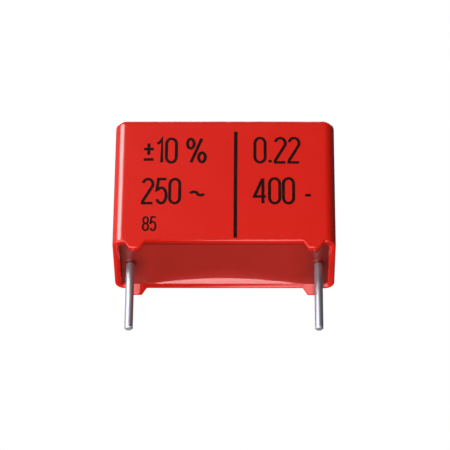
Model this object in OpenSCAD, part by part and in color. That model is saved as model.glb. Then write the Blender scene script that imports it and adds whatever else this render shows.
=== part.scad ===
// Box film capacitor with two wires, for mounting through a printed circuit board.
// Millimetres, +Z up. The origin lies midway between the two wires, in the plane of the feet.
// +X runs along the line of the wires, and the marked face looks along -Y.

/* [Box] */
// Length of the moulded box, along the line of the wires
box_length = 26.5; // [20:0.1:34]
// Thickness of the box, from the marked face to the back
box_width = 10.5; // [8:0.1:14]
// Height from the feet to the closed top
box_height = 19; // [15:0.1:26]
// Thickness of the four side walls
side_wall = 0.8; // [0.5:0.05:1]
// Thickness of the closed top
top_wall = 0.9; // [0.5:0.05:1.5]
// Radius of the four upright edges
upright_radius = 1.2; // [1.1:0.05:2]
// Radius of the edge round the top
top_radius = 1.1; // [0.4:0.05:1.1]

/* [Feet] */
// Height of the feet, which is how far the rim stands off the board
foot_height = 1; // [0.6:0.05:1.5]
// Width of a foot where it stands on the board
foot_tip = 1.1; // [0.6:0.05:2]
// Width of a foot where it leaves the rim
foot_root = 2.3; // [2.1:0.05:3]
// Distance from each end of the box in to the middle of the feet beside it
foot_inset = 2.65; // [2.5:0.05:4]

/* [Wires] */
// Distance from each end of the box in to the middle of the wire beside it
wire_inset = 2; // [1.8:0.05:2.5]
// Diameter of each wire
wire_diameter = 1; // [0.6:0.05:1.1]
// Length of wire below the feet
wire_reach = 8; // [3:0.1:30]
// Bevel left round the cut end of each wire
wire_bevel = 0.15; // [0.05:0.01:0.2]
// Distance from the top of the roll down to the inner end of each wire
wire_stop = 1.6; // [0.5:0.1:4]

/* [Roll] */
// Resin between the roll and each side wall
roll_side_gap = 0.4; // [0.2:0.05:0.8]
// Resin between the roll and the closed top
roll_top_gap = 0.4; // [0.2:0.05:0.8]
// Thickness of the plain film wrapped round the roll
wrap_thickness = 0.2; // [0.1:0.01:0.4]
// Thickness of the metal sprayed on each end of the roll
spray_thickness = 0.5; // [0.3:0.05:0.8]
// Depth to which each wire is welded into the sprayed metal
weld_depth = 0.15; // [0.05:0.01:0.25]

/* [Resin] */
// Least thickness of resin under the roll
resin_cover = 1; // [0.5:0.1:2]
// Depth of the resin inside the rim at the wires
resin_depth = 0.45; // [0.4:0.05:0.7]
// Depth to which the resin has sunk inside the rim halfway along
resin_sink = 0.95; // [0.75:0.05:1.2]
// Gap between the root of a foot and the stretch over which the resin has sunk
resin_sink_gap = 0.15; // [0.1:0.05:2]
// Depth of the line that the resin wets on the walls at the corners
resin_edge = 0.25; // [0.1:0.05:0.35]
// Height to which the resin climbs down along each wire
collar_height = 0.4; // [0.3:0.05:0.5]
// Width of that collar of resin round each wire
collar_width = 0.22; // [0.16:0.02:0.4]
// Thickness of the collar's edge where it ends on the wire
collar_lip = 0.03; // [0.02:0.01:0.08]

/* [Hidden] */
$fn = 96;

LEFT = -1;
RIGHT = 1;
overshoot = 1;                                   // how far a cutting shape runs past what it cuts

wire_r = wire_diameter / 2;
wire_pitch = box_length - 2 * wire_inset;        // spacing of the holes in the board
wire_x = wire_pitch / 2;                         // middle of the right wire
foot_x = box_length / 2 - foot_inset;            // middle of the right feet
rim_z = foot_height;                             // the rim between the feet
ceiling_z = box_height - top_wall;               // inner face of the closed top

cavity_length = box_length - 2 * side_wall;
cavity_width = box_width - 2 * side_wall;
cavity_radius = upright_radius - side_wall;

contact_face_x = wire_x - wire_r + weld_depth;   // outer face of the sprayed metal
roll_end_x = contact_face_x - spray_thickness;   // end of the rolled film
roll_width = cavity_width - 2 * roll_side_gap;
roll_bottom_z = rim_z + resin_sink + resin_cover;
roll_top_z = ceiling_z - roll_top_gap;
wire_top_z = roll_top_z - wire_stop;

resin_z = rim_z + resin_depth;                   // the resin's face at the wires
collar_z = resin_z - collar_height;              // where the resin's collar ends on the wire
flank_bend = 0.95;                               // radius of the collar's hollow flank over its chord
resin_sink_length = 2 * foot_x - foot_root - 2 * resin_sink_gap;

// Radius of the circle whose arc rises by rise over a chord of length chord
function arc_radius(chord, rise) = (pow(chord / 2, 2) + pow(rise, 2)) / (2 * rise);

// Plan of a box with rounded corners, centred on the origin
module rounded_plan(length, width, radius) {
    square([length - 2 * radius, width], center = true);
    square([length, width - 2 * radius], center = true);
    for (x = [-1, 1], y = [-1, 1])
        translate([x * (length / 2 - radius), y * (width / 2 - radius)])
            circle(radius);
}

// Upright section with a flat foot at the rim and its two upper corners rounded
module arched_section(width) {
    height = box_height - rim_z;
    translate([-width / 2, 0]) square([width, height - top_radius]);
    translate([-width / 2 + top_radius, 0]) square([width - 2 * top_radius, height]);
    for (side = [-1, 1])
        translate([side * (width / 2 - top_radius), height - top_radius])
            circle(top_radius);
}

// Half of the section of a round post of the upright radius, rounded over at the top
module post_section() {
    height = box_height - rim_z;
    square([upright_radius, height - top_radius]);
    square([upright_radius - top_radius, height]);
    intersection() {
        translate([upright_radius - top_radius, height - top_radius])
            circle(top_radius);
        square([upright_radius, height]);
    }
}

// Outside of the box above its rim: two crossing arched bars and a quarter of a round post in each corner
module box_outside() {
    bar_x = box_length - 2 * upright_radius;
    bar_y = box_width - 2 * upright_radius;
    translate([0, 0, rim_z]) {
        translate([-bar_x / 2, 0, 0])
            rotate([90, 0, 90]) linear_extrude(bar_x) arched_section(box_width);
        translate([0, bar_y / 2, 0])
            rotate([90, 0, 0]) linear_extrude(bar_y) arched_section(box_length);
        for (x = [-1, 1], y = [-1, 1])
            translate([x * bar_x / 2, y * bar_y / 2, 0])
                mirror([x < 0 ? 1 : 0, 0, 0]) mirror([0, y < 0 ? 1 : 0, 0])
                    rotate_extrude(angle = 90) post_section();
    }
}

// One tapered foot, as thick as the wall that it carries on
module foot() {
    translate([0, side_wall / 2, 0])
        rotate([90, 0, 0]) linear_extrude(side_wall)
            polygon([
                [-foot_tip / 2, 0], [foot_tip / 2, 0],
                [foot_root / 2, foot_height], [-foot_root / 2, foot_height],
            ]);
}

// Inside of the box, open at the rim
module cavity(bottom_z) {
    translate([0, 0, bottom_z])
        linear_extrude(ceiling_z - bottom_z)
            rounded_plan(cavity_length, cavity_width, cavity_radius);
}

// Injection-moulded box, closed at the top and open at the board, with a pair of feet on each long wall
module case() {
    color([0.82, 0.15, 0.12]) {
        difference() {
            box_outside();
            cavity(rim_z - overshoot);
        }
        for (x = [-1, 1], y = [-1, 1])
            translate([x * foot_x, y * (box_width - side_wall) / 2, 0]) foot();
    }
}

// Section of the flat-pressed roll, thinner than its full size by inset all round
module roll_section(inset = 0) {
    width = roll_width - 2 * inset;
    middle_z = (roll_bottom_z + roll_top_z) / 2;
    straight = roll_top_z - roll_bottom_z - roll_width;
    translate([0, middle_z]) {
        square([width, straight], center = true);
        for (end = [-1, 1]) translate([0, end * straight / 2]) circle(width / 2);
    }
}

// A length of the roll's section between two places along X
module roll_length(from_x, to_x, inset = 0) {
    translate([from_x, 0, 0])
        rotate([90, 0, 90]) linear_extrude(to_x - from_x) roll_section(inset);
}

// Two metallised films rolled up together and pressed flat
module film_roll() {
    color([0.75, 0.76, 0.78]) roll_length(-roll_end_x, roll_end_x, wrap_thickness);
}

// Plain film wrapped round the outside of the roll
module roll_wrap() {
    color([0.9, 0.88, 0.8])
        difference() {
            roll_length(-roll_end_x, roll_end_x);
            roll_length(-roll_end_x - overshoot, roll_end_x + overshoot, wrap_thickness);
        }
}

// Sprayed metal on one end of the roll, with the groove of the wire that is welded into it
module end_contact(side) {
    color([0.62, 0.63, 0.64])
        mirror([side == LEFT ? 1 : 0, 0, 0])
            difference() {
                roll_length(roll_end_x, contact_face_x);
                translate([wire_x, 0, roll_bottom_z - overshoot])
                    cylinder(r = wire_r, h = wire_top_z - roll_bottom_z + overshoot);
            }
}

// Tinned copper wire with a bevelled end. Its outline has a point where it leaves the resin.
module wire(side) {
    color([0.8, 0.81, 0.84])
        translate([side * wire_x, 0, 0])
            rotate_extrude()
                polygon([
                    [0, -wire_reach], [wire_r - wire_bevel, -wire_reach],
                    [wire_r, -wire_reach + wire_bevel], [wire_r, collar_z],
                    [wire_r, wire_top_z], [0, wire_top_z],
                ]);
}

// Space below the resin: a shallow trough along the box, and the long hollow that the resin has sunk to
module below_resin() {
    trough_r = arc_radius(cavity_width, resin_depth - resin_edge);
    hollow_r = arc_radius(resin_sink_length, resin_sink - resin_edge);
    translate([-box_length / 2, 0, rim_z + resin_depth - trough_r])
        rotate([0, 90, 0]) cylinder(r = trough_r, h = box_length, $fn = 360);
    translate([0, box_width / 2, rim_z + resin_sink - hollow_r])
        rotate([90, 0, 0]) cylinder(r = hollow_r, h = box_width, $fn = 720);
}

// Collar of resin drawn out along a wire. Its flank is an arc that hollows in towards the wire.
module collar() {
    flank_width = collar_width - collar_lip;
    chord = sqrt(pow(flank_width, 2) + pow(collar_height, 2));
    flank_r = flank_bend * chord;
    stand_off = sqrt(pow(flank_r, 2) - pow(chord / 2, 2));
    translate([0, 0, collar_z])
        rotate_extrude()
            difference() {
                translate([wire_r, 0]) square([collar_width, collar_height + resin_cover / 2]);
                translate([
                    wire_r + collar_lip + flank_width / 2 + stand_off * collar_height / chord,
                    collar_height / 2 - stand_off * flank_width / chord
                ])
                    circle(flank_r);
            }
}

// Casting resin that fills the box round the roll and closes its open side
module resin_seal() {
    color([0.6, 0.14, 0.11]) {
        difference() {
            cavity(rim_z - overshoot);
            below_resin();
            roll_length(-contact_face_x, contact_face_x);
            for (side = [LEFT, RIGHT])
                translate([side * wire_x, 0, rim_z - overshoot])
                    cylinder(r = wire_r, h = wire_top_z - rim_z + overshoot);
        }
        for (side = [LEFT, RIGHT]) translate([side * wire_x, 0, 0]) collar();
    }
}

case();
resin_seal();
film_roll();
roll_wrap();
end_contact(LEFT);  // end_contact_left
end_contact(RIGHT);  // end_contact_right
wire(LEFT);  // wire_left
wire(RIGHT);  // wire_right
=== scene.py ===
"""Looks, marking, camera and studio for the box film capacitor.

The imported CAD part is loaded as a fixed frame. The moulded case, the open face of the casting resin
and the print are modelled here. The wires and the hidden winding keep their CAD solids and get a
finish. Lengths of the part, the print and the camera are millimetres, and MM turns them into
Blender's metres. The tent and the lamps are placed in metres.
"""

import logging
import math
from collections.abc import Iterable, Sequence
from dataclasses import dataclass, field
from enum import Enum
from itertools import zip_longest
from typing import Any

import bmesh
import bpy
from mathutils import Matrix, Vector, noise
from mathutils.geometry import delaunay_2d_cdt


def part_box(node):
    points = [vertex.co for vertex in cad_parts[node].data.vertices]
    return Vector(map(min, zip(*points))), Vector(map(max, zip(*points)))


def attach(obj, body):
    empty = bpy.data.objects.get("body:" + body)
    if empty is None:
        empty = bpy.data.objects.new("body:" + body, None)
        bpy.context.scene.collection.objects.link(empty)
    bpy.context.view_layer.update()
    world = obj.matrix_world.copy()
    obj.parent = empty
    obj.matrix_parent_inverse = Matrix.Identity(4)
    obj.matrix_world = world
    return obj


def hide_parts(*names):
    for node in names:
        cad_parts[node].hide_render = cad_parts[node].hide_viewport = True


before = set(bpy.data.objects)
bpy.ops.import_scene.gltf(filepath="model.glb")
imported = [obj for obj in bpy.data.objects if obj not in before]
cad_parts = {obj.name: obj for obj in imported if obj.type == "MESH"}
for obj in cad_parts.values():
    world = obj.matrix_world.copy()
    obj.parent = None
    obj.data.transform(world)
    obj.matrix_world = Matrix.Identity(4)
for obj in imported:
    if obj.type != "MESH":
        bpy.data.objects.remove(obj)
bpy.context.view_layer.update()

MM = 0.001
BODY = "root"

log = logging.getLogger("capacitor")

Point2 = tuple[float, float]
Point3 = tuple[float, float, float]


class Side(Enum):
    """Left and right end of the capacitor, seen from the marked face."""

    LEFT = -1
    RIGHT = 1


class Print(Enum):
    """Pen widths of the print, in millimetres."""

    LARGE = 0.37
    SMALL = 0.24


# ------ Colours, nodes and meshes ------


def linear(colour: str) -> tuple[float, float, float, float]:
    """Turns an sRGB hex colour into linear light.

    Args:
        colour: Six hex digits, such as "d0271e".

    Returns:
        Red, green and blue as linear values, and an alpha of 1.
    """
    channels = [int(colour[i : i + 2], 16) / 255 for i in (0, 2, 4)]
    light = [c / 12.92 if c <= 0.04045 else ((c + 0.055) / 1.055) ** 2.4 for c in channels]
    return (light[0], light[1], light[2], 1.0)


def add_node(
    tree: bpy.types.NodeTree, kind: str, inputs: dict[str | int, Any] | None = None, **settings: Any
) -> bpy.types.Node:
    """Adds a node with its settings and links.

    Args:
        tree: The node tree that takes the node.
        kind: The node's Blender type name.
        inputs: Input sockets by name or number, each with a value or with the output to link.
        settings: Properties of the node itself.

    Returns:
        The new node.
    """
    node = tree.nodes.new(kind)
    for name, value in settings.items():
        setattr(node, name, value)
    for socket, value in (inputs or {}).items():
        if isinstance(value, bpy.types.NodeSocket):
            tree.links.new(value, node.inputs[socket])
        else:
            node.inputs[socket].default_value = value
    return node


def mesh_object(name: str, mesh: bmesh.types.BMesh, scale: float = MM) -> bpy.types.Object:
    """Turns a bmesh in millimetres into a smooth-shaded object in metres.

    Args:
        name: Name of the piece.
        mesh: The bmesh, which is freed.
        scale: Factor from the bmesh's unit to metres.

    Returns:
        The object, linked to the scene.
    """
    bmesh.ops.recalc_face_normals(mesh, faces=mesh.faces)
    mesh.transform(Matrix.Scale(scale, 4))
    data = bpy.data.meshes.new(name)
    mesh.to_mesh(data)
    mesh.free()
    data.shade_smooth()
    made = bpy.data.objects.new(name, data)
    bpy.context.scene.collection.objects.link(made)
    return made


def smooth_least(values: Sequence[float], reach: float) -> float:
    """Least of several values, with the corners between them rounded.

    Args:
        values: The values to compare.
        reach: How far the rounding reaches, in the unit of the values.

    Returns:
        The rounded least value, never above the true one.
    """
    least = min(values)
    return least - reach * math.log(sum(math.exp((least - v) / reach) for v in values))


def smooth_step(value: float, low: float, high: float) -> float:
    """Rises smoothly between two values.

    Args:
        value: The value to place.
        low: Where the rise starts.
        high: Where it ends.

    Returns:
        0 up to low, 1 from high on, and an S-shaped rise between them.
    """
    share = min(1.0, max(0.0, (value - low) / (high - low)))
    return share * share * (3 - 2 * share)


# ------ Finishes ------


@dataclass(frozen=True)
class Finish:
    """A surface finish. Each kind fills in shade()."""

    name: str

    def material(self) -> bpy.types.Material:
        """Builds the finish as a Blender material."""
        made = bpy.data.materials.new(self.name)
        made.use_nodes = True
        made.node_tree.nodes.clear()
        surface = self.shade(made.node_tree)
        add_node(made.node_tree, "ShaderNodeOutputMaterial", {"Surface": surface})
        return made

    def shade(self, tree: bpy.types.NodeTree) -> bpy.types.NodeSocket:
        """Adds the finish's nodes.

        Args:
            tree: The material's empty node tree.

        Returns:
            The shader output for the surface.
        """
        raise NotImplementedError

    def dress(self, *pieces: bpy.types.Object) -> bpy.types.Material:
        """Gives pieces this finish in place of what they have.

        Args:
            pieces: The objects to dress.

        Returns:
            The material that they share.
        """
        made = self.material()
        for piece in pieces:
            piece.data.materials.clear()
            piece.data.materials.append(made)
        return made


def millimetres(tree: bpy.types.NodeTree) -> bpy.types.NodeSocket:
    """Adds the surface's own place in millimetres, which every pattern is scaled from.

    Args:
        tree: The material's node tree.

    Returns:
        The output that holds the place.
    """
    place = add_node(tree, "ShaderNodeTexCoord").outputs["Object"]
    return add_node(tree, "ShaderNodeVectorMath", {0: place, "Scale": 1 / MM}, operation="SCALE").outputs[0]


@dataclass(frozen=True)
class MouldedPolyester(Finish):
    """Red PBT polyester, injection-moulded against a polished steel tool.

    To the eye it is an even, saturated red with a wet-looking gloss. Close up the colour drifts a
    little where the melt flowed, and the gloss is broken by a very shallow orange peel.
    """

    body: str = "d11a0c"
    flow_shade: str = "cb180a"
    flow_mm: float = 5.0
    peel_mm: float = 0.5
    peel_depth_mm: float = 0.0006
    roughness: float = 0.2
    smoother_by: float = 0.02
    rougher_by: float = 0.03
    ior: float = 1.57

    def shade(self, tree: bpy.types.NodeTree) -> bpy.types.NodeSocket:
        """Adds the melt's drift of colour, the orange peel and the gloss."""
        place = millimetres(tree)
        flow = add_node(
            tree,
            "ShaderNodeTexNoise",
            {"Vector": place, "Scale": 1 / self.flow_mm, "Detail": 3.0, "Distortion": 0.6},
        )
        colour = add_node(
            tree,
            "ShaderNodeMix",
            {"Factor": flow.outputs["Fac"], "A": linear(self.flow_shade), "B": linear(self.body)},
            data_type="RGBA",
        )
        peel = add_node(
            tree, "ShaderNodeTexNoise", {"Vector": place, "Scale": 1 / self.peel_mm, "Detail": 2.0}
        )
        relief = add_node(
            tree,
            "ShaderNodeBump",
            {"Height": peel.outputs["Fac"], "Distance": self.peel_depth_mm * MM, "Strength": 1.0},
        )
        gloss = add_node(
            tree,
            "ShaderNodeMapRange",
            {
                "Value": flow.outputs["Fac"],
                "To Min": self.roughness - self.smoother_by,
                "To Max": self.roughness + self.rougher_by,
            },
        )
        return add_node(
            tree,
            "ShaderNodeBsdfPrincipled",
            {
                "Base Color": colour.outputs["Result"],
                "Roughness": gloss.outputs["Result"],
                "IOR": self.ior,
                "Normal": relief.outputs["Normal"],
            },
        ).outputs[0]


@dataclass(frozen=True)
class CastingResin(Finish):
    """Dark red filled polyurethane resin, poured in and cured in the open.

    To the eye it is satin and darker than the case. The filler shows as a faint cloudiness. Its colour
    is darkened towards both ends as painted shade for the recesses beside the roll. Where it has
    drained to a thin film on the wall it is glossy and lets the case's red through.
    """

    thin: str = "a01e15"
    cloud: str = "961c14"
    # Painted shade: the resin's colour darkens to this towards both ends, standing in for shadow in the
    # recesses beside the roll.
    painted_end_shade: str = "681812"
    film: str = "d31f15"
    end_shade_from_mm: float = 8.6
    end_shade_to_mm: float = 12.4
    cloud_mm: float = 2.2
    grain_mm: float = 0.12
    grain_depth_mm: float = 0.0015
    roughness: float = 0.34
    film_roughness: float = 0.1
    ior: float = 1.5

    def shade(self, tree: bpy.types.NodeTree) -> bpy.types.NodeSocket:
        """Adds the cloudiness, the painted shade at both ends, the film's colour and gloss, and the
        fine grain of the filler.
        """
        place = millimetres(tree)
        film = add_node(tree, "ShaderNodeAttribute", attribute_name=ResinFace.FILM).outputs["Fac"]
        cloud = add_node(
            tree, "ShaderNodeTexNoise", {"Vector": place, "Scale": 1 / self.cloud_mm, "Detail": 4.0}
        )
        layer = add_node(
            tree,
            "ShaderNodeMix",
            {"Factor": cloud.outputs["Fac"], "A": linear(self.cloud), "B": linear(self.thin)},
            data_type="RGBA",
        )
        # Painted shade: the colour darkens towards both ends along X, where the recesses beside the roll lie
        # in shadow.
        along = add_node(tree, "ShaderNodeSeparateXYZ", {0: place}).outputs["X"]
        outward = add_node(tree, "ShaderNodeMath", {0: along}, operation="ABSOLUTE").outputs[0]
        depth = add_node(
            tree,
            "ShaderNodeMapRange",
            {"Value": outward, "From Min": self.end_shade_from_mm, "From Max": self.end_shade_to_mm},
            interpolation_type="SMOOTHSTEP",
        )
        pool = add_node(
            tree,
            "ShaderNodeMix",
            {"Factor": depth.outputs["Result"], "A": layer.outputs["Result"], "B": linear(self.painted_end_shade)},
            data_type="RGBA",
        )
        colour = add_node(
            tree,
            "ShaderNodeMix",
            {"Factor": film, "A": pool.outputs["Result"], "B": linear(self.film)},
            data_type="RGBA",
        )
        rough = add_node(
            tree,
            "ShaderNodeMapRange",
            {"Value": film, "To Min": self.roughness, "To Max": self.film_roughness},
        )
        grain = add_node(
            tree, "ShaderNodeTexNoise", {"Vector": place, "Scale": 1 / self.grain_mm, "Detail": 2.0}
        )
        relief = add_node(
            tree,
            "ShaderNodeBump",
            {"Height": grain.outputs["Fac"], "Distance": self.grain_depth_mm * MM, "Strength": 1.0},
        )
        return add_node(
            tree,
            "ShaderNodeBsdfPrincipled",
            {
                "Base Color": colour.outputs["Result"],
                "Roughness": rough.outputs["Result"],
                "IOR": self.ior,
                "Normal": relief.outputs["Normal"],
            },
        ).outputs[0]


@dataclass(frozen=True)
class TinnedCopper(Finish):
    """Copper wire, drawn through a die and dipped in molten tin.

    To the eye it is a bright, slightly cool silver, with faint lines along the wire from the die.
    """

    tin: str = "c8cbd4"
    shadow: str = "b6b9c3"
    line_mm: float = 0.06
    line_length_mm: float = 6.0
    line_depth_mm: float = 0.0004
    roughness: float = 0.54

    def shade(self, tree: bpy.types.NodeTree) -> bpy.types.NodeSocket:
        """Adds the lines along the wire and the metal."""
        place = add_node(
            tree,
            "ShaderNodeVectorMath",
            {0: millimetres(tree), 1: (1 / self.line_mm, 1 / self.line_mm, 1 / self.line_length_mm)},
            operation="MULTIPLY",
        )
        lines = add_node(
            tree, "ShaderNodeTexNoise", {"Vector": place.outputs[0], "Scale": 1.0, "Detail": 2.0}
        )
        colour = add_node(
            tree,
            "ShaderNodeMix",
            {"Factor": lines.outputs["Fac"], "A": linear(self.shadow), "B": linear(self.tin)},
            data_type="RGBA",
        )
        relief = add_node(
            tree,
            "ShaderNodeBump",
            {"Height": lines.outputs["Fac"], "Distance": self.line_depth_mm * MM, "Strength": 1.0},
        )
        return add_node(
            tree,
            "ShaderNodeBsdfPrincipled",
            {
                "Base Color": colour.outputs["Result"],
                "Metallic": 1.0,
                "Roughness": self.roughness,
                "Normal": relief.outputs["Normal"],
            },
        ).outputs[0]


@dataclass(frozen=True)
class PadPrintInk(Finish):
    """Two-part black ink, laid on by a silicone pad.

    To the eye it is a warm near-black, a little duller than the case, and thinner in places.
    """

    ink: str = "140302"
    thin: str = "300a06"
    patch_mm: float = 0.5
    thin_from: float = 0.45
    thin_to: float = 0.75
    roughness: float = 0.22
    ior: float = 1.4

    def shade(self, tree: bpy.types.NodeTree) -> bpy.types.NodeSocket:
        """Adds the ink's uneven cover and its sheen."""
        cover = add_node(
            tree, "ShaderNodeTexNoise", {"Vector": millimetres(tree), "Scale": 1 / self.patch_mm}
        )
        share = add_node(
            tree,
            "ShaderNodeMapRange",
            {"Value": cover.outputs["Fac"], "From Min": self.thin_from, "From Max": self.thin_to},
        )
        colour = add_node(
            tree,
            "ShaderNodeMix",
            {"Factor": share.outputs["Result"], "A": linear(self.ink), "B": linear(self.thin)},
            data_type="RGBA",
        )
        return add_node(
            tree,
            "ShaderNodeBsdfPrincipled",
            {"Base Color": colour.outputs["Result"], "Roughness": self.roughness, "IOR": self.ior},
        ).outputs[0]


@dataclass(frozen=True)
class MetallisedFilm(Finish):
    """Polyester film with aluminium evaporated on it, rolled up and pressed flat.

    To the eye it is a soft silver, with the fine lines of the turns round the roll.
    """

    metal: str = "c9cacd"
    seam: str = "9a9ca1"
    turn_mm: float = 0.12
    roughness: float = 0.32

    def shade(self, tree: bpy.types.NodeTree) -> bpy.types.NodeSocket:
        """Adds the lines of the turns and the metal, drawn coarser than film so that they show."""
        turns = add_node(
            tree,
            "ShaderNodeTexWave",
            {"Vector": millimetres(tree), "Scale": 1 / (2 * math.pi * self.turn_mm), "Distortion": 0.4},
            bands_direction="Y",
        )
        colour = add_node(
            tree,
            "ShaderNodeMix",
            {"Factor": turns.outputs["Fac"], "A": linear(self.seam), "B": linear(self.metal)},
            data_type="RGBA",
        )
        return add_node(
            tree,
            "ShaderNodeBsdfPrincipled",
            {"Base Color": colour.outputs["Result"], "Metallic": 1.0, "Roughness": self.roughness},
        ).outputs[0]


@dataclass(frozen=True)
class PlainFilm(Finish):
    """Clear polyester film, wound round the roll and heat-sealed.

    To the eye it is a milky, slightly yellow skin with a soft gloss.
    """

    film: str = "e7e2cf"
    fold: str = "d4cdb5"
    fold_mm: float = 1.6
    roughness: float = 0.3
    ior: float = 1.64

    def shade(self, tree: bpy.types.NodeTree) -> bpy.types.NodeSocket:
        """Adds the milky patches between the turns and the gloss."""
        folds = add_node(
            tree, "ShaderNodeTexNoise", {"Vector": millimetres(tree), "Scale": 1 / self.fold_mm}
        )
        colour = add_node(
            tree,
            "ShaderNodeMix",
            {"Factor": folds.outputs["Fac"], "A": linear(self.fold), "B": linear(self.film)},
            data_type="RGBA",
        )
        return add_node(
            tree,
            "ShaderNodeBsdfPrincipled",
            {"Base Color": colour.outputs["Result"], "Roughness": self.roughness, "IOR": self.ior},
        ).outputs[0]


@dataclass(frozen=True)
class SprayedZinc(Finish):
    """Zinc, flame-sprayed on the ends of the roll.

    To the eye it is a dull grey metal with a sandy grain, where each droplet froze as it landed.
    """

    zinc: str = "9b9da0"
    pore: str = "6a6c70"
    grain_mm: float = 0.15
    grain_depth_mm: float = 0.04
    roughness: float = 0.62

    def shade(self, tree: bpy.types.NodeTree) -> bpy.types.NodeSocket:
        """Adds the droplets, the pores between them and the dull metal."""
        drops = add_node(
            tree, "ShaderNodeTexVoronoi", {"Vector": millimetres(tree), "Scale": 1 / self.grain_mm}
        )
        colour = add_node(
            tree,
            "ShaderNodeMix",
            {"Factor": drops.outputs["Distance"], "A": linear(self.zinc), "B": linear(self.pore)},
            data_type="RGBA",
        )
        relief = add_node(
            tree,
            "ShaderNodeBump",
            {"Height": drops.outputs["Distance"], "Distance": self.grain_depth_mm * MM},
            invert=True,
        )
        return add_node(
            tree,
            "ShaderNodeBsdfPrincipled",
            {
                "Base Color": colour.outputs["Result"],
                "Metallic": 1.0,
                "Roughness": self.roughness,
                "Normal": relief.outputs["Normal"],
            },
        ).outputs[0]


# ------ The moulded case ------


@dataclass
class MouldedCase:
    """Injection-moulded box, closed at the top, with two tapered feet on each long wall.

    The rim's outer edge is rounded by outer_round. Its inner edge is rounded by inner_round where it
    turns by more than least_turn degrees.
    """

    node: str = "case"
    side_wall: float = 0.8
    top_wall: float = 0.9
    upright_radius: float = 1.2
    top_radius: float = 1.1
    foot_height: float = 1.0
    foot_tip: float = 1.1
    foot_root: float = 2.3
    foot_inset: float = 2.65
    outer_round: float = 0.2
    inner_round: float = 0.015
    least_turn: float = 20.0
    corner_steps: int = 16
    round_steps: int = 12
    rim_steps: int = 4
    finish: MouldedPolyester = MouldedPolyester("Moulded_polyester")
    length: float = field(init=False)
    width: float = field(init=False)
    height: float = field(init=False)

    def __post_init__(self) -> None:
        """Takes the outer sizes from the frame."""
        low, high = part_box(self.node)
        self.length, self.width, self.height = ((high - low) / MM).to_tuple()

    @property
    def face_y(self) -> float:
        """Place of the marked face along Y."""
        return -self.width / 2

    def plan(self, inset: float) -> list[Point2]:
        """Outline of the box seen from above, moved inwards.

        Args:
            inset: How far the outline lies inside the outer wall.

        Returns:
            Points from the front left foot round to the left end, with one at each turn of a foot.
        """
        half_x = self.length / 2 - self.upright_radius
        half_y = self.width / 2 - self.upright_radius
        radius = self.upright_radius - inset
        stations = [x for x, _ in self.foot_stations()]
        points = [(x, -half_y - radius) for x in stations]
        for corner, (sx, sy) in enumerate([(1, -1), (1, 1), (-1, 1), (-1, -1)]):
            for step in range(self.corner_steps + 1):
                angle = math.radians(90 * (corner - 1 + step / self.corner_steps))
                place = (sx * half_x + radius * math.cos(angle), sy * half_y + radius * math.sin(angle))
                points.append(place)
            if corner == 1:
                points += [(x, half_y + radius) for x in reversed(stations)]
        return points

    def foot_stations(self) -> list[Point2]:
        """Turns of the rim along a long wall, as places along X with the rim's height at each."""
        middle = self.length / 2 - self.foot_inset
        turns = [
            (-self.foot_root / 2, self.foot_height),
            (-self.foot_tip / 2, 0.0),
            (self.foot_tip / 2, 0.0),
            (self.foot_root / 2, self.foot_height),
        ]
        return [(side.value * middle + x, z) for side in Side for x, z in turns]

    def rim(self) -> list[float]:
        """Height of the rim at each point of the plan."""
        stations = [z for _, z in self.foot_stations()]
        corner = [self.foot_height] * (self.corner_steps + 1)
        return stations + 2 * corner + stations[::-1] + 2 * corner

    def rings(self) -> list[list[Point3]]:
        """Rings of points from the ceiling inside, down the wall, round the rim and up to the top."""
        rim = self.rim()
        count = len(rim)
        ceiling = [self.height - self.top_wall] * count
        rings = [(self.side_wall, ceiling), (self.side_wall, rim), (0.0, rim)]
        for step in range(self.round_steps + 1):
            angle = math.radians(90 * step / self.round_steps)
            inset = self.top_radius * (1 - math.cos(angle))
            rings.append((inset, [self.height - self.top_radius * (1 - math.sin(angle))] * count))
        return [
            [(x, y, z) for (x, y), z in zip(self.plan(inset), heights)] for inset, heights in rings
        ]

    def build(self) -> bpy.types.Object:
        """Builds the case, with its rim and feet rounded over, and dresses it.

        Returns:
            The piece that stands for the CAD case.
        """
        mesh = bmesh.new()
        rings = [[mesh.verts.new(p) for p in ring] for ring in self.rings()]
        count = len(rings[0])
        for inner, outer in zip(rings, rings[1:]):
            for i in range(count):
                j = (i + 1) % count
                mesh.faces.new((inner[i], inner[j], outer[j], outer[i]))
        mesh.faces.new(rings[0])
        mesh.faces.new(rings[-1])
        weight = mesh.edges.layers.float.new("bevel_weight_edge")
        outer_rim, both_rims = set(rings[2]), set(rings[1] + rings[2])
        for edge in mesh.edges:
            if outer_rim.issuperset(edge.verts):
                edge[weight] = 1.0
            elif both_rims.issuperset(edge.verts) and edge.calc_face_angle() > math.radians(self.least_turn):
                edge[weight] = self.inner_round / self.outer_round
        piece = mesh_object("moulded_case", mesh)
        rounding = piece.modifiers.new("Rounded_rim", "BEVEL")
        rounding.limit_method = "WEIGHT"
        rounding.width = self.outer_round * MM
        rounding.segments = self.rim_steps
        rounding.harden_normals = True
        self.finish.dress(piece)
        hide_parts(self.node)
        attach(piece, BODY)
        return piece


# ------ The casting resin ------


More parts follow.
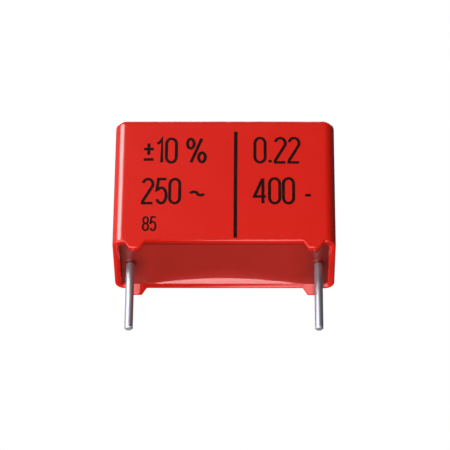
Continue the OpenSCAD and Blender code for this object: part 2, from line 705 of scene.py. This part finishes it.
@dataclass
class ResinFace:
    """Open face of the casting resin: sunk halfway along, drawn up the walls and along the wires.

    edge, depth and sink are how far inside the rim the resin stands: where it wets the walls, at the
    wires and halfway along. The film is the thin skin that it leaves on a wall as it sinks. It starts
    lap nearer the rim than edge, and film_slope and film_bend shape it. A collar is the resin drawn
    out along a wire. The face is the outside of a slab that ends at back_z and bites into the walls.
    """

    case: MouldedCase
    wire_inset: float = 2.0
    wire_radius: float = 0.5
    depth: float = 0.45
    sink: float = 0.95
    edge: float = 0.25
    sink_gap: float = 0.15
    collar_height: float = 0.4
    collar_width: float = 0.22
    back_z: float = 2.6
    film_slope: float = 3.2
    film_bend: float = 1.65
    film_from: float = 0.004
    film_to: float = 0.02
    film_reach: float = 0.5
    film_full: float = 0.4
    sunk_by: float = 0.12
    collar_lift: float = 1.1
    collar_slope: float = 2.5
    skin: float = 0.012
    swell_mm: float = 2.5
    swell_cut: float = 1.7
    pool_blend: float = 0.03
    film_blend: float = 0.003
    lap: float = 0.03
    bite: float = 0.01
    # Spacing of the points that the face is built from
    loop_gap: float = 0.02
    loop_count: int = 18
    last_loops: tuple[float, ...] = (0.42, 0.5)
    collar_rings: tuple[float, ...] = (0.02, 0.05, 0.09, 0.14, 0.2, 0.27, 0.35, 0.45)
    ring_margin: float = 0.05
    ring_steps: int = 48
    corner_steps: int = 8
    wall_step: float = 0.2
    grid_step: float = 0.3
    grid_margin: float = 0.6
    crease: float = 60.0
    finish: CastingResin = CastingResin("Casting_resin")

    FILM = "thin_film"

    @property
    def rim_z(self) -> float:
        """Height of the case's rim between the feet."""
        return self.case.foot_height

    @property
    def wire_x(self) -> float:
        """Distance of each wire from the middle."""
        return self.case.length / 2 - self.wire_inset

    def wall_distance(self, x: float, y: float) -> float:
        """Distance from a point of the face to the nearest inner wall.

        Args:
            x: Place along the line of the wires.
            y: Place across the box.

        Returns:
            The distance, below zero inside a wall.
        """
        case = self.case
        dx = abs(x) - (case.length / 2 - case.upright_radius)
        dy = abs(y) - (case.width / 2 - case.upright_radius)
        radius = case.upright_radius - case.side_wall
        return radius - min(max(dx, dy), 0.0) - math.hypot(max(dx, 0.0), max(dy, 0.0))

    def pool(self, x: float, y: float) -> float:
        """Height of the resin away from walls and wires.

        Args:
            x: Place along the line of the wires.
            y: Place across the box.

        Returns:
            Height above the board: a trough along the box that runs into the long hollow.
        """
        inner_width = self.case.width - 2 * self.case.side_wall
        sunk = self.case.length - 2 * self.case.foot_inset - self.case.foot_root - 2 * self.sink_gap
        trough_r = ((inner_width / 2) ** 2 + (self.depth - self.edge) ** 2) / (2 * (self.depth - self.edge))
        hollow_r = ((sunk / 2) ** 2 + (self.sink - self.edge) ** 2) / (2 * (self.sink - self.edge))
        trough = self.depth - trough_r + math.sqrt(trough_r**2 - min(abs(y), inner_width / 2) ** 2)
        hollow = self.sink - hollow_r + math.sqrt(hollow_r**2 - x**2)
        blend = self.pool_blend
        deepest = -smooth_least((-trough, -hollow), blend) - blend * math.log(2)
        swell = noise.noise(Vector((x / self.swell_mm, y / self.swell_mm, self.swell_cut)))
        return self.rim_z + deepest - self.skin + 0.5 * self.skin * swell

    def height(self, x: float, y: float) -> float:
        """Height of the resin, with the film on the walls and the collars round the wires.

        Args:
            x: Place along the line of the wires.
            y: Place across the box.

        Returns:
            Height above the board.
        """
        wall = max(0.0, self.wall_distance(x, y))
        wet = min(wall, self.film_slope / (2 * self.film_bend))
        film = self.rim_z + self.edge - self.lap + self.film_slope * wet - self.film_bend * wet**2
        wire = max(0.0, math.hypot(abs(x) - self.wire_x, y) - self.wire_radius)
        share = min(1.0, wire / self.collar_width)
        tip = self.rim_z + self.depth - self.collar_height
        collar = tip + self.collar_lift * self.collar_height * math.sin(share * math.pi / 2)
        collar += self.collar_slope * max(0.0, wire - self.collar_width)
        return smooth_least((self.pool(x, y), film, collar), self.film_blend)

    def film_share(self, x: float, y: float) -> float:
        """How much of the wall's red shows through the resin.

        Args:
            x: Place along the line of the wires.
            y: Place across the box.

        Returns:
            0 in the pool, rising to 1 where only a film is left on a long wall.
        """
        inner_y = self.case.width / 2 - self.case.side_wall
        hollow = self.pool(x, self.case.width / 2) - self.rim_z
        sunk = smooth_step(hollow, self.edge, self.edge + self.sunk_by)
        drawn = smooth_step(self.pool(x, y) - self.height(x, y), self.film_from, self.film_to)
        near_wall = smooth_step(abs(y), inner_y - self.film_reach, inner_y - self.film_full)
        return sunk * drawn * near_wall

    def clear_of_wires(self, place: Point2) -> bool:
        """Whether a place lies outside the rings of points round the wires."""
        clear = self.wire_radius + self.collar_rings[-1] + self.ring_margin
        return math.hypot(abs(place[0]) - self.wire_x, place[1]) > clear

    def points(self) -> list[Point2]:
        """Points of the face.

        Returns:
            Loops along the walls, then a grid between them, then rings round the wires.
        """
        case = self.case
        depths = [self.loop_gap * ring for ring in range(1, self.loop_count + 1)]
        loose = [place for depth in (*depths, *self.last_loops) for place in self.wall_loop(depth)]
        half_x = case.length / 2 - case.side_wall - self.grid_margin
        half_y = case.width / 2 - case.side_wall - self.grid_margin
        columns, rows = round(2 * half_x / self.grid_step), round(2 * half_y / self.grid_step)
        loose += [
            (-half_x + 2 * half_x * i / columns, -half_y + 2 * half_y * j / rows)
            for i in range(columns + 1)
            for j in range(rows + 1)
        ]
        found = [place for place in loose if self.clear_of_wires(place)]
        for side in Side:
            for reach in self.collar_rings:
                found += circle(side.value * self.wire_x, 0.0, self.wire_radius + reach, self.ring_steps)
        return found

    def wall_loop(self, depth: float) -> list[Point2]:
        """Loop of points at one distance from the inner walls.

        Args:
            depth: Distance from the wall, below zero inside the wall.

        Returns:
            Points about wall_step apart along the straight walls, and an arc in each corner.
        """
        case = self.case
        half_x = case.length / 2 - case.upright_radius
        half_y = case.width / 2 - case.upright_radius
        reach = case.upright_radius - case.side_wall - depth
        radius, pull = max(reach, 0.0), min(reach, 0.0)
        half_x, half_y = half_x + pull, half_y + pull
        corners = [(1, -1), (1, 1), (-1, 1), (-1, -1)]
        loop: list[Point2] = []
        for corner, (sx, sy) in enumerate(corners):
            steps = self.corner_steps if radius > 0 else 0
            for step in range(steps + 1):
                angle = math.radians(90 * (corner - 1 + (step / steps if steps else 0.5)))
                loop.append((sx * half_x + radius * math.cos(angle), sy * half_y + radius * math.sin(angle)))
            nx, ny = corners[(corner + 1) % 4]
            start, end_angle = loop[-1], math.radians(90 * corner)
            end = (nx * half_x + radius * math.cos(end_angle), ny * half_y + radius * math.sin(end_angle))
            count = max(1, round(math.dist(start, end) / self.wall_step))
            loop += [
                (start[0] + (end[0] - start[0]) * k / count, start[1] + (end[1] - start[1]) * k / count)
                for k in range(1, count)
            ]
        return loop

    def build(self) -> bpy.types.Object:
        """Builds the resin's face as a closed slab that is fitted over the CAD resin.

        Returns:
            The piece, which carries the film share as an attribute.
        """
        outline = self.wall_loop(-self.bite)
        hole = self.wire_radius - self.bite
        holes = [circle(side.value * self.wire_x, 0.0, hole, self.ring_steps) for side in Side]
        points: list[Point2] = []
        fences: list[tuple[int, int]] = []
        for loop in (outline, *holes):
            first = len(points)
            points += loop
            fences += [(first + i, first + (i + 1) % len(loop)) for i in range(len(loop))]
        points += self.points()
        flat, _, triangles, *_ = delaunay_2d_cdt([Vector(p) for p in points], fences, [], 0, 1e-6)
        kept = [t for t in triangles if not self.inside_wire([flat[i] for i in t])]

        mesh = bmesh.new()
        film = mesh.verts.layers.float.new(self.FILM)
        front = [mesh.verts.new((p.x, p.y, self.height(p.x, p.y))) for p in flat]
        back = [mesh.verts.new((p.x, p.y, self.back_z)) for p in flat]
        for vertex, place in zip(front, flat):
            vertex[film] = self.film_share(place.x, place.y)
        for a, b, c in kept:
            mesh.faces.new((front[a], front[b], front[c]))
            mesh.faces.new((back[c], back[b], back[a]))
        for a, b in open_edges(kept):
            mesh.faces.new((front[b], front[a], back[a], back[b]))
        loose = [v for v in mesh.verts if not v.link_faces]
        bmesh.ops.delete(mesh, geom=loose, context="VERTS")
        piece = mesh_object("resin_face", mesh)
        crease_at(piece, math.radians(self.crease))
        self.finish.dress(piece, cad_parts["resin_seal"])
        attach(piece, BODY)
        return piece

    def inside_wire(self, corners: Sequence[Vector]) -> bool:
        """Tells whether a triangle of the face lies inside a wire.

        Args:
            corners: The triangle's corners.

        Returns:
            True where the triangle's middle is in a wire's hole.
        """
        x = sum(p.x for p in corners) / len(corners)
        y = sum(p.y for p in corners) / len(corners)
        return math.hypot(abs(x) - self.wire_x, y) < self.wire_radius - 2 * self.bite


def circle(x: float, y: float, radius: float, count: int) -> list[Point2]:
    """Points of a circle, evenly spaced."""
    turns = [2 * math.pi * i / count for i in range(count)]
    return [(x + radius * math.cos(t), y + radius * math.sin(t)) for t in turns]


def open_edges(triangles: Iterable[Sequence[int]]) -> list[tuple[int, int]]:
    """Directed edges that only one triangle has, which are the mesh's outer and inner outlines."""
    edges = {(t[i], t[(i + 1) % 3]) for t in triangles for i in range(3)}
    return sorted(e for e in edges if (e[1], e[0]) not in edges)


def crease_at(piece: bpy.types.Object, angle: float) -> None:
    """Marks the edges of a piece that turn by more than an angle as sharp."""
    piece.data.set_sharp_from_angle(angle=angle)


# ------ The print ------


def arc(
    cx: float, cy: float, rx: float, ry: float, start: float, end: float, steps: int
) -> list[Point2]:
    """Points of an elliptic arc.

    Args:
        cx: Middle of the ellipse across.
        cy: Middle of the ellipse upwards.
        rx: Half its width.
        ry: Half its height.
        start: Angle of the first point in degrees, anticlockwise from the right.
        end: Angle of the last point in degrees.
        steps: Number of stretches.

    Returns:
        The points from start to end.
    """
    turns = [math.radians(start + (end - start) * i / steps) for i in range(steps + 1)]
    return [(cx + rx * math.cos(t), cy + ry * math.sin(t)) for t in turns]


@dataclass(frozen=True)
class Glyph:
    """A figure of the print: pen strokes in a cell that is 1 high, and which of them are closed."""

    width: float
    strokes: tuple[tuple[Point2, ...], ...]
    closed: tuple[bool, ...] = ()

    def pen_strokes(self) -> Iterable[tuple[tuple[Point2, ...], bool]]:
        """Pairs each stroke with whether it ends where it began, which strokes don't unless stated."""
        return zip_longest(self.strokes, self.closed, fillvalue=False)


def figures() -> dict[str, Glyph]:
    """Draws the figures and signs of the print, narrow and with one pen width.

    Returns:
        The glyph of each sign.
    """
    w = 0.34
    r = w / 2
    bowl = 1.3 * r
    zero = arc(r, 1 - bowl, r, bowl, 0, 180, 16) + arc(r, bowl, r, bowl, 180, 360, 16)
    two = arc(r, 1 - bowl, r, bowl, 165, -18, 18) + [(0.0, 0.07), (0.0, 0.0), (w, 0.0)]
    five = [(w, 1.0), (0.07, 1.0), (0.02, 0.55)] + arc(r, 0.32, r, 0.32, 128, -152, 22)
    eight = (arc(r, 0.76, 0.88 * r, 0.24, 0, 345, 23), arc(r, 0.26, r, 0.26, 0, 345, 23))
    ring_middles = ((0.115, 0.79), (0.505, 0.21))
    rings = tuple(tuple(arc(x, z, 0.115, 0.2, 0, 337.5, 15)) for x, z in ring_middles)
    wave = arc(0.11, 0.4, 0.11, 0.07, 180, 0, 10) + arc(0.33, 0.4, 0.11, 0.07, 180, 360, 10)[1:]
    return {
        "0": Glyph(w, (tuple(zero),), closed=(True,)),
        "1": Glyph(0.2, (((0.0, 0.78), (0.1, 0.86), (0.16, 1.0), (0.16, 0.0)),)),
        "2": Glyph(w, (tuple(two),)),
        "4": Glyph(0.38, (((0.28, 0.0), (0.28, 1.0)), ((0.26, 0.97), (0.0, 0.27), (0.38, 0.27)))),
        "5": Glyph(w, (tuple(five),)),
        "8": Glyph(w, tuple(tuple(loop) for loop in eight), closed=(True, True)),
        ".": Glyph(0.1, (((0.05, 0.0), (0.05, 0.1)),)),
        "-": Glyph(0.19, (((0.0, 0.32), (0.19, 0.32)),)),
        "±": Glyph(0.34, (((0.0, 0.56), (w, 0.56)), ((r, 0.32), (r, 0.8)), ((0.0, 0.12), (w, 0.12)))),
        "%": Glyph(0.62, (*rings, ((0.13, 0.0), (0.49, 1.0))), closed=(True, True, False)),
        "~": Glyph(0.44, (tuple(wave),)),
        " ": Glyph(0.14, ()),
    }


@dataclass(frozen=True)
class PrintLine:
    """One line of the print: where it starts on the face, how tall its figures are, and its pen."""

    text: str
    left: float
    base: float
    height: float
    pen: Print


@dataclass
class Marking:
    """Plain figures beside a bar, printed on the face of the case."""

    case: MouldedCase
    bar_x: float = 1.33
    bar_width: float = 0.43
    bar_low: float = 1.45
    bar_high: float = 16.9
    thickness: float = 0.012
    sink: float = 0.004
    spacing: float = 0.12
    layer_lift: float = 0.15
    crease: float = 30.0
    lines: tuple[PrintLine, ...] = (
        PrintLine("±10 %", -9.75, 12.35, 3.5, Print.LARGE),
        PrintLine("250 ~", -9.75, 6.4, 3.5, Print.LARGE),
        PrintLine("85", -9.65, 2.5, 1.9, Print.SMALL),
        PrintLine("0.22", 3.65, 12.35, 3.6, Print.LARGE),
        PrintLine("400 -", 3.6, 6.4, 3.6, Print.LARGE),
    )
    finish: PadPrintInk = PadPrintInk("Pad_print_ink")

    def build(self) -> bpy.types.Object:
        """Builds the bar and the figures as one thin layer of ink.

        Returns:
            The piece.
        """
        mesh = bmesh.new()
        self.lay(mesh, [(self.bar_x, self.bar_low), (self.bar_x, self.bar_high)], self.bar_width, False, 0)
        shapes = figures()
        for line in self.lines:
            x = line.left
            for sign in line.text:
                shape = shapes[sign]
                for layer, (stroke, closed) in enumerate(shape.pen_strokes()):
                    path = [(x + px * line.height, line.base + pz * line.height) for px, pz in stroke]
                    self.lay(mesh, path, line.pen.value, closed, layer)
                x += (shape.width + self.spacing) * line.height
        piece = mesh_object("face_print", mesh)
        crease_at(piece, math.radians(self.crease))
        self.finish.dress(piece)
        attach(piece, BODY)
        return piece

    def lay(
        self, mesh: bmesh.types.BMesh, path: list[Point2], width: float, closed: bool, layer: int
    ) -> None:
        """Lays one stroke of ink along a path on the face.

        Args:
            mesh: The bmesh that takes the stroke.
            path: Points of the stroke's middle, as places along X and Z.
            width: Width of the pen.
            closed: Whether the path ends where it began.
            layer: Number of strokes that it may cross. It stands prouder by layer_lift for each.
        """
        sides = offset_path(path, width / 2, closed)
        top_y = self.case.face_y - self.thickness * (1 + self.layer_lift * layer)
        low_y = self.case.face_y + self.sink
        rows = [
            [mesh.verts.new((x, y, z)) for x, z in side] for y in (top_y, low_y) for side in sides
        ]
        left, right, left_low, right_low = rows
        count = len(path)
        for i in range(count if closed else count - 1):
            j = (i + 1) % count
            mesh.faces.new((left[i], left[j], right[j], right[i]))
            mesh.faces.new((left_low[j], left_low[i], right_low[i], right_low[j]))
            mesh.faces.new((left[j], left[i], left_low[i], left_low[j]))
            mesh.faces.new((right[i], right[j], right_low[j], right_low[i]))
        if not closed:
            mesh.faces.new((left[0], right[0], right_low[0], left_low[0]))
            mesh.faces.new((right[-1], left[-1], left_low[-1], right_low[-1]))


SHARPEST_MITRE = 0.4


def offset_path(path: Sequence[Point2], distance: float, closed: bool) -> tuple[list[Point2], list[Point2]]:
    """Both edges of a pen stroke, with mitred turns.

    Args:
        path: Points of the stroke's middle.
        distance: Half the pen's width.
        closed: Whether the path ends where it began.

    Returns:
        The points of the left edge and of the right edge.
    """
    left: list[Point2] = []
    right: list[Point2] = []
    count = len(path)
    for i, (x, y) in enumerate(path):
        before = path[i - 1] if closed or i > 0 else None
        after = path[(i + 1) % count] if closed or i < count - 1 else None
        into = Vector((x - before[0], y - before[1])).normalized() if before else None
        out = Vector((after[0] - x, after[1] - y)).normalized() if after else into
        into = into or out
        across = Vector((-(into.y + out.y), into.x + out.x)).normalized()
        reach = distance / max(SHARPEST_MITRE, across.dot(Vector((-into.y, into.x))))
        left.append((x + across.x * reach, y + across.y * reach))
        right.append((x - across.x * reach, y - across.y * reach))
    return left, right


# ------ Wires and winding, which keep their CAD solids ------


@dataclass
class Wires:
    """The two tinned copper wires."""

    nodes: tuple[str, ...] = ("wire_left", "wire_right")
    crease: float = 35.0
    finish: TinnedCopper = TinnedCopper("Tinned_copper")

    def dress(self) -> None:
        """Gives the wires round shading and their finish."""
        wires = [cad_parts[name] for name in self.nodes]
        for wire in wires:
            wire.data.shade_smooth()
            crease_at(wire, math.radians(self.crease))
        self.finish.dress(*wires)


@dataclass
class Winding:
    """The pressed roll inside the case, with its wrap and sprayed ends."""

    finishes: dict[Finish, tuple[str, ...]] = field(
        default_factory=lambda: {
            MetallisedFilm("Metallised_film"): ("film_roll",),
            PlainFilm("Plain_film"): ("roll_wrap",),
            SprayedZinc("Sprayed_zinc"): ("end_contact_left", "end_contact_right"),
        }
    )

    def dress(self) -> None:
        """Gives each piece of the winding its finish."""
        for finish, names in self.finishes.items():
            finish.dress(*(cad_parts[name] for name in names))


# ------ Studio ------


def direction(azimuth: float, elevation: float) -> Vector:
    """Unit vector from the object towards a place in the studio.

    Args:
        azimuth: Degrees from the marked face's side, positive to the right.
        elevation: Degrees above the horizon.

    Returns:
        The vector.
    """
    a, e = math.radians(azimuth), math.radians(elevation)
    return Vector((math.sin(a) * math.cos(e), -math.cos(a) * math.cos(e), math.sin(e)))


@dataclass(frozen=True)
class SoftBox:
    """An area lamp that looks at the object, with its distance, width and height in metres."""

    name: str
    azimuth: float
    elevation: float
    distance: float
    width: float
    height: float
    radiance: float
    colour: str = "ffffff"

    def place(self, aim: Vector) -> None:
        """Adds the lamp, with its power worked out from its radiance and its area.

        Args:
            aim: The place that it looks at.
        """
        lamp = bpy.data.lights.new(self.name, "AREA")
        lamp.shape = "RECTANGLE"
        lamp.size, lamp.size_y = self.width, self.height
        lamp.energy = self.radiance * math.pi * self.width * self.height
        lamp.color = linear(self.colour)[:3]
        made = bpy.data.objects.new(self.name, lamp)
        away = direction(self.azimuth, self.elevation)
        made.location = aim + away * self.distance
        made.rotation_euler = away.to_track_quat("Z", "Y").to_euler()
        made.visible_camera = False
        bpy.context.scene.collection.objects.link(made)


@dataclass(frozen=True)
class TentCloth(Finish):
    """Cloth of the light tent.

    To the eye it is pale grey towards its pale side, at the left, and nearly black elsewhere.
    """

    pale_azimuth: float = -80.0
    pale_elevation: float = 15.0
    pale_strength: float = 0.4
    black_strength: float = 0.05
    spread: float = 0.1

    def shade(self, tree: bpy.types.NodeTree) -> bpy.types.NodeSocket:
        """Adds the cloth's glow, which falls off with the turn away from its pale side."""
        place = add_node(tree, "ShaderNodeTexCoord").outputs["Object"]
        outward = add_node(tree, "ShaderNodeVectorMath", {0: place}, operation="NORMALIZE").outputs[0]
        pale = direction(self.pale_azimuth, self.pale_elevation)
        facing = add_node(
            tree, "ShaderNodeVectorMath", {0: outward, 1: pale}, operation="DOT_PRODUCT"
        ).outputs["Value"]
        glow = add_node(
            tree,
            "ShaderNodeMapRange",
            {
                "Value": facing,
                "From Min": self.spread,
                "To Min": self.black_strength,
                "To Max": self.pale_strength,
            },
        ).outputs["Result"]
        return add_node(tree, "ShaderNodeEmission", {"Color": linear("ffffff"), "Strength": glow}).outputs[0]


def seen_as_background(tree: bpy.types.NodeTree) -> bpy.types.NodeSocket:
    """Tells apart the rays that show the background: from the camera, in gloss and through glass.

    Args:
        tree: The world's node tree.

    Returns:
        An output that is 1 for those rays and 0 for the ones that only carry light.
    """
    path = add_node(tree, "ShaderNodeLightPath")
    factor = path.outputs["Is Camera Ray"]
    for ray in ("Is Glossy Ray", "Is Transmission Ray"):
        seen = add_node(tree, "ShaderNodeMath", {0: factor, 1: path.outputs[ray]}, operation="MAXIMUM")
        factor = seen.outputs[0]
    return factor


@dataclass
class Studio:
    """White room, a dim tent that the camera sees through, and soft boxes inside it."""

    ambient: float = 0.25
    tent: TentCloth = TentCloth("Tent_cloth")
    tent_radius: float = 0.9
    lamps: tuple[SoftBox, ...] = (
        SoftBox("Key_core", -41, 34, 0.6, 0.33, 0.24, 8.0),
        SoftBox("Key_wide", -42, 34, 0.62, 0.5, 0.28, 2.4),
        SoftBox("Low_left", -32, -12, 0.5, 0.2, 0.2, 3.2),
        SoftBox("Front_panel", -1, -8, 0.5, 0.075, 0.13, 8.0),
        SoftBox("Under_panel", -58, -66, 0.15, 0.2, 0.2, 3.1),
        SoftBox("Back_left", -145, 60, 0.6, 0.3, 0.3, 5.0),
        SoftBox("Back_right", 145, 60, 0.6, 0.3, 0.3, 5.0),
    )

    def build(self, aim: Vector) -> None:
        """Builds the room, the tent and the lamps.

        Args:
            aim: The place that the lamps look at.
        """
        self.room()
        self.cloth_tent()
        for lamp in self.lamps:
            lamp.place(aim)

    def room(self) -> None:
        """Sets the world: white where it is seen, dim where it only gives light."""
        world = bpy.data.worlds.new("Room")
        world.use_nodes = True
        tree = world.node_tree
        tree.nodes.clear()
        dim = add_node(tree, "ShaderNodeBackground", {"Color": linear("ffffff"), "Strength": self.ambient})
        white = add_node(tree, "ShaderNodeBackground", {"Color": linear("ffffff"), "Strength": 1.0})
        mixed = add_node(
            tree, "ShaderNodeMixShader", {0: seen_as_background(tree), 1: dim.outputs[0], 2: white.outputs[0]}
        )
        add_node(tree, "ShaderNodeOutputWorld", {"Surface": mixed.outputs[0]})
        bpy.context.scene.world = world

    def cloth_tent(self) -> None:
        """Hangs the tent all round the set."""
        mesh = bmesh.new()
        bmesh.ops.create_uvsphere(mesh, u_segments=48, v_segments=24, radius=self.tent_radius)
        tent = mesh_object("cloth_tent", mesh, scale=1.0)
        self.tent.dress(tent)
        tent.visible_camera = False


@dataclass(frozen=True)
class Viewpoint:
    """The camera: in front of the marked face, a little to the right, and looking up from below.

    It stands at distance and elevation from the height pivot_z, moved right, and looks at the place
    aim_x, aim_z in the middle plane, turned by lean degrees. The lens and the sensor are millimetres.
    """

    distance: float = 350.0
    elevation: float = -33.72
    right: float = 3.99
    pivot_z: float = 5.0
    aim_x: float = 0.04
    aim_z: float = 6.8
    lean: float = 0.46
    lens: float = 232.5
    sensor_width: float = 36.0
    nearest: float = 10.0
    furthest: float = 10000.0

    def place(self) -> None:
        """Adds the camera and makes it the scene's own."""
        data = bpy.data.cameras.new("Camera")
        data.lens = self.lens
        data.sensor_width = self.sensor_width
        data.clip_start, data.clip_end = self.nearest * MM, self.furthest * MM
        camera = bpy.data.objects.new("Camera", data)
        away = direction(0, self.elevation) * self.distance
        eye = Vector((self.right, away.y, self.pivot_z + away.z))
        look = Vector((self.aim_x, 0.0, self.aim_z)) - eye
        turn = look.to_track_quat("-Z", "Y").to_matrix() @ Matrix.Rotation(math.radians(self.lean), 3, "Z")
        camera.location = eye * MM
        camera.rotation_euler = turn.to_euler()
        bpy.context.scene.collection.objects.link(camera)
        bpy.context.scene.camera = camera


def main() -> None:
    """Builds the pieces in order, then the studio and the camera."""
    logging.basicConfig(level=logging.INFO, format="%(message)s")
    case = MouldedCase()
    for make in (case, ResinFace(case), Marking(case)):
        piece = make.build()
        log.info("%s: %d faces", piece.name, len(piece.data.polygons))
    for group in (Wires(), Winding()):
        group.dress()
        log.info("%s dressed", type(group).__name__)
    Studio().build(aim=Vector((0, 0, case.height / 2 * MM)))
    Viewpoint().place()
    bpy.context.scene.view_settings.view_transform = "Standard"


if __name__ == "__main__":
    main()
